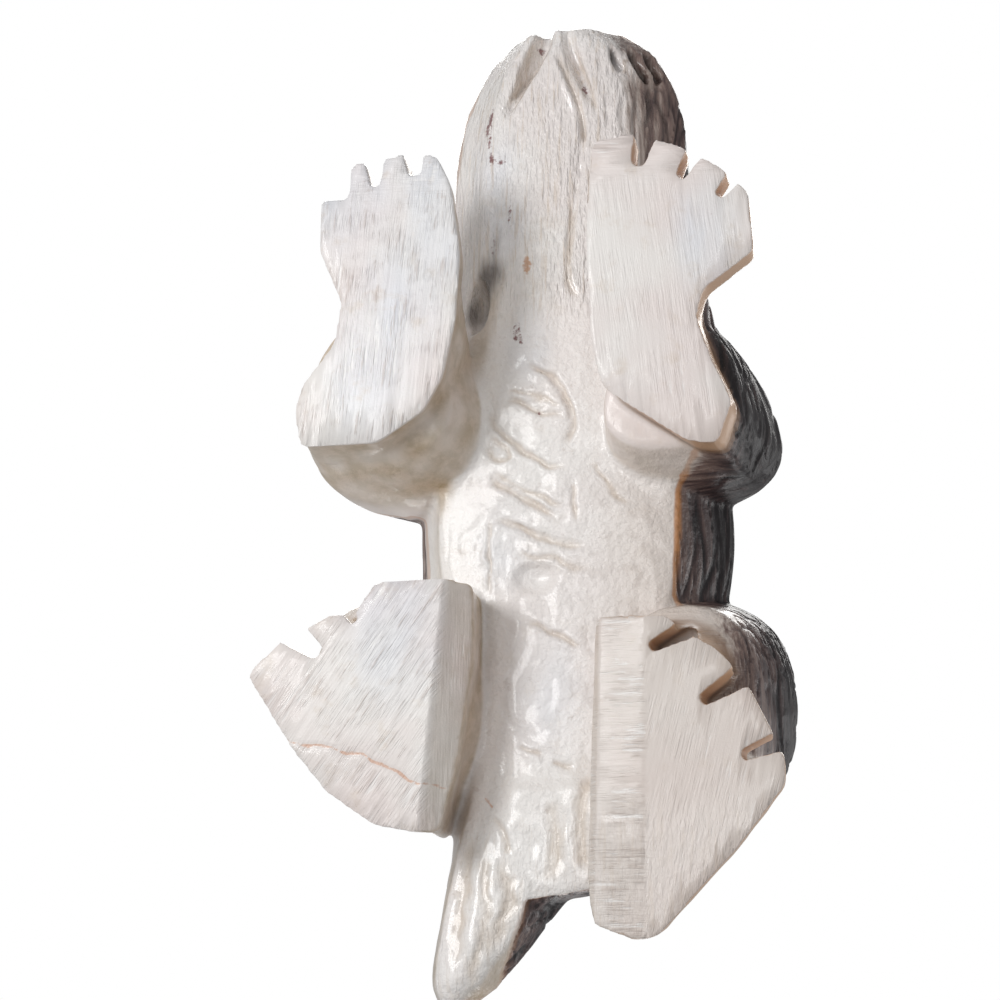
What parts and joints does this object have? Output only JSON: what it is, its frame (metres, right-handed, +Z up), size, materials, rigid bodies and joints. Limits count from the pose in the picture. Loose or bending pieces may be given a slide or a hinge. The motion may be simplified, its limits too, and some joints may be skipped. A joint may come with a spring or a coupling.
{
  "type": "reptile fetish carving",
  "caption": "Small carved reptile standing on flat ground soles, with blunt head, notched toes, gouged belly and a tapering tail.",
  "frame": {"origin": "centre of the bounding box's underside, on the ground plane of the soles", "axes": "+Z up from the soles, head towards -Y, tail towards +Y, the animal's left side at +X"},
  "size_m": [0.043, 0.0808, 0.02],
  "materials": {
    "antler": "satin"
  },
  "bodies": {
    "root": {"reptile_carving": "antler"}
  },
  "joints": []
}
